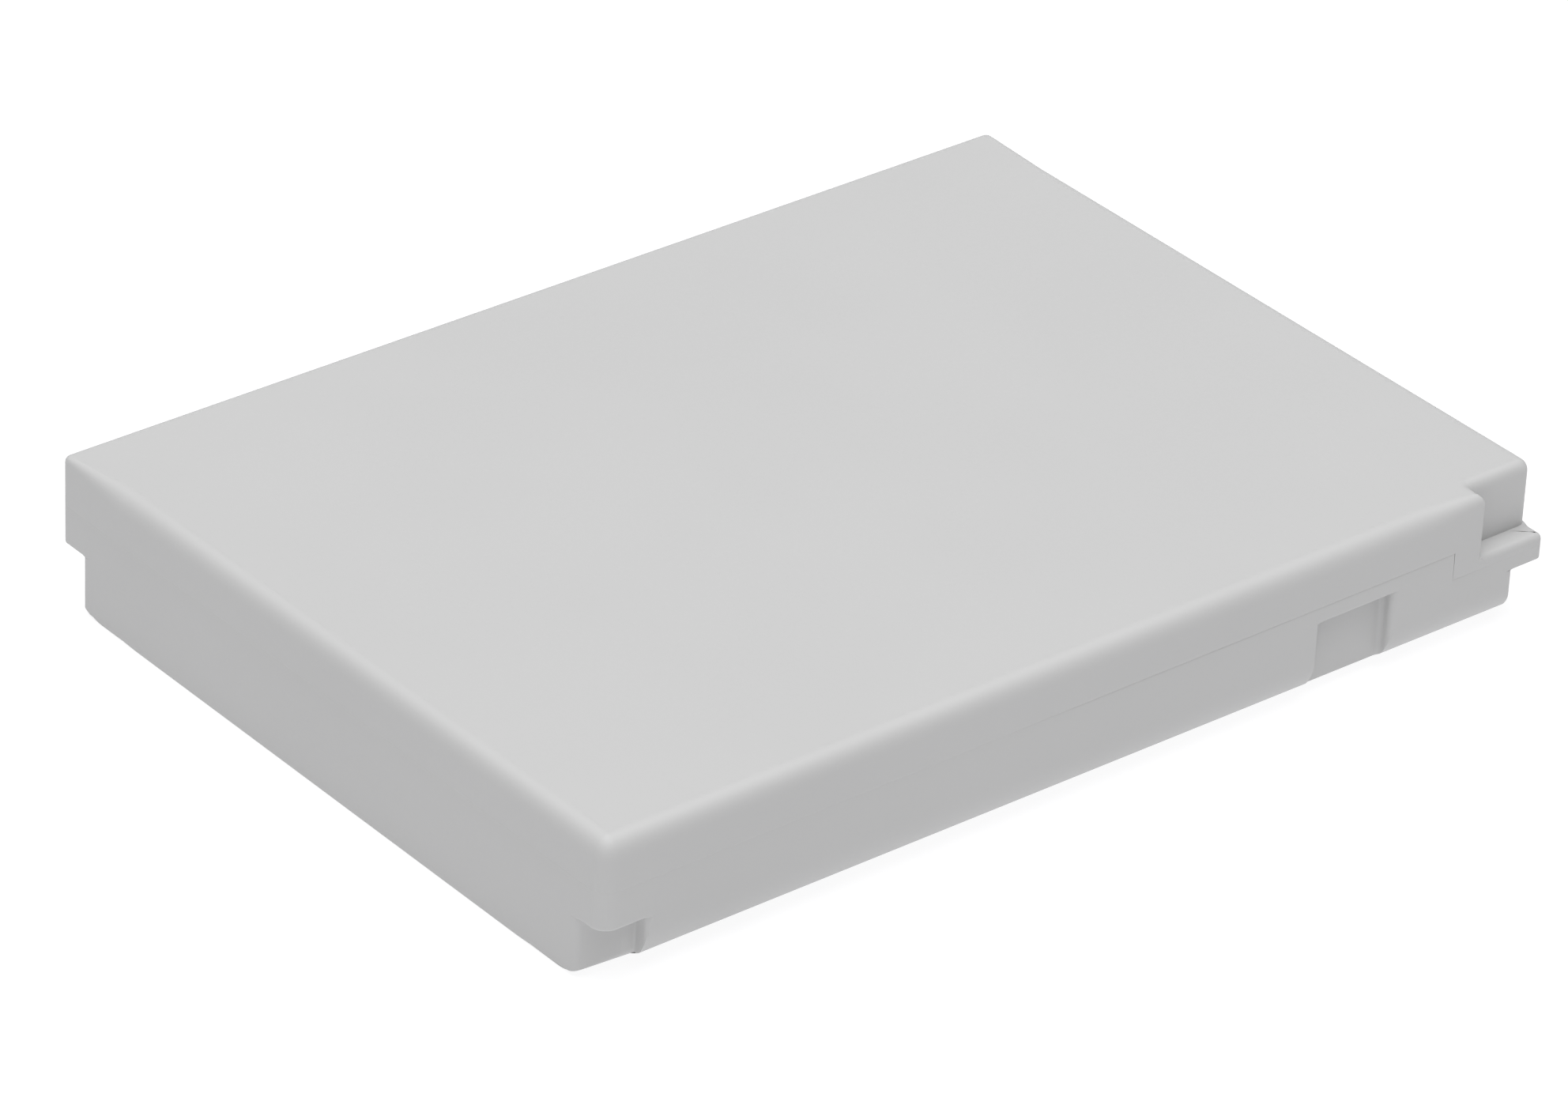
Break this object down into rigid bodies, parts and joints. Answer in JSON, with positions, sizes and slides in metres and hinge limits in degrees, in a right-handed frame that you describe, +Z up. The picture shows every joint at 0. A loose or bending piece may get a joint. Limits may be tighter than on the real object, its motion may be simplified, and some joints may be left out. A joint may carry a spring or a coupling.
{
  "type": "pager battery",
  "caption": "Flat light grey rechargeable battery pack with rounded lower sides, key and guide notches, a side latch recess and end contacts, which fits a pager's battery bay.",
  "frame": {"origin": "middle of the case's outline, on the flat lower face", "axes": "+X along the length to the contact end, +Y across to the back side, away from the latch recess, +Z up from the lower face"},
  "size_m": [0.0508, 0.037, 0.007],
  "materials": {
    "case_plastic": "fine moulded matte, light grey",
    "cell_can": "drawn satin",
    "seal_plastic": "moulded black",
    "rivet_metal": "nickel plated",
    "insulator_fibre": "vulcanised fibre card",
    "nickel_strip": "rolled nickel",
    "cutoff_resin": "moulded resin",
    "board_laminate": "green solder mask",
    "chip_resin": "moulded epoxy",
    "chip_ceramic": "fired ceramic",
    "contact_gold": "gold plated",
    "tissue_tape": "white tissue tape",
    "foam": "closed-cell foam"
  },
  "bodies": {
    "root": {"bottom_tray": "case_plastic", "top_cover": "case_plastic", "cell": "cell_can", "terminal_seal": "seal_plastic", "cell_terminal": "rivet_metal", "insulator_card": "insulator_fibre", "positive_lead": "nickel_strip", "negative_lead": "nickel_strip", "terminal_strip": "nickel_strip", "thermal_cutoff": "cutoff_resin", "protection_board": "board_laminate", "control_chip": "chip_resin", "switch_transistor": "chip_resin", "chip_components": "chip_ceramic", "contact_pads": "contact_gold", "cell_tape": "tissue_tape", "foam_pad": "foam"}
  },
  "joints": []
}
